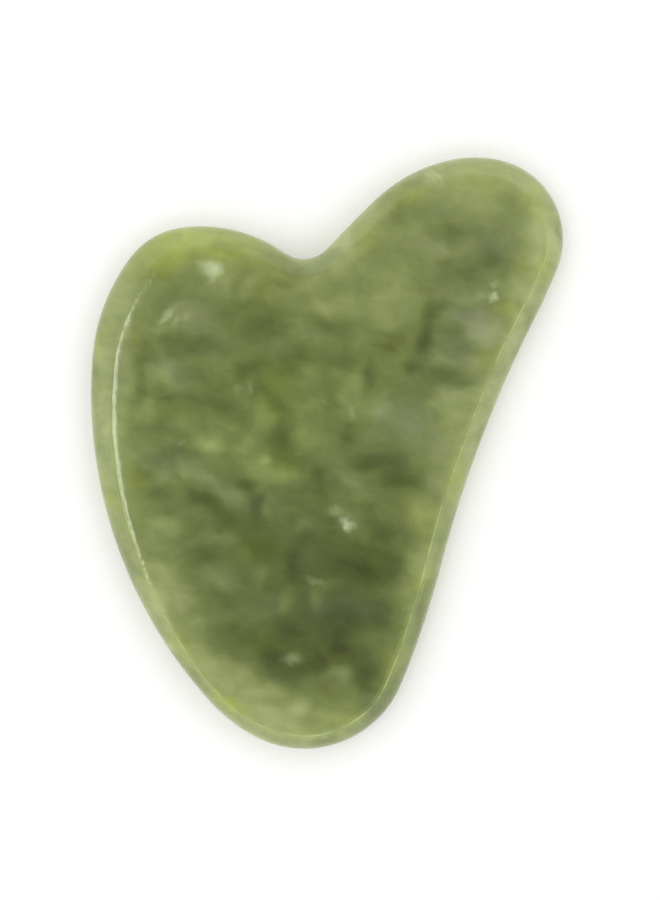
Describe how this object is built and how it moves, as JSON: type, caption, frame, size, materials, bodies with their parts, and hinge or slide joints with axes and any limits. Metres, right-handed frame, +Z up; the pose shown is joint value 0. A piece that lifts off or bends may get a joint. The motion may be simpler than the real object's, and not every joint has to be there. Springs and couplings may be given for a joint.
{
  "type": "gua sha scraper",
  "caption": "Flat heart-shaped jade massage scraper with one tall lobe, one short lobe, a notch between them and a rounded rim all round.",
  "frame": {"origin": "under the middle of the outline, on the back face that the plate lies on", "axes": "+Z up through the thickness, +Y from the tip towards the notch between the lobes, +X towards the taller lobe"},
  "size_m": [0.0618, 0.0774, 0.006],
  "materials": {
    "jade": "polished green jade, cloudy, slightly translucent"
  },
  "bodies": {
    "root": {"jade_plate": "jade"}
  },
  "joints": []
}
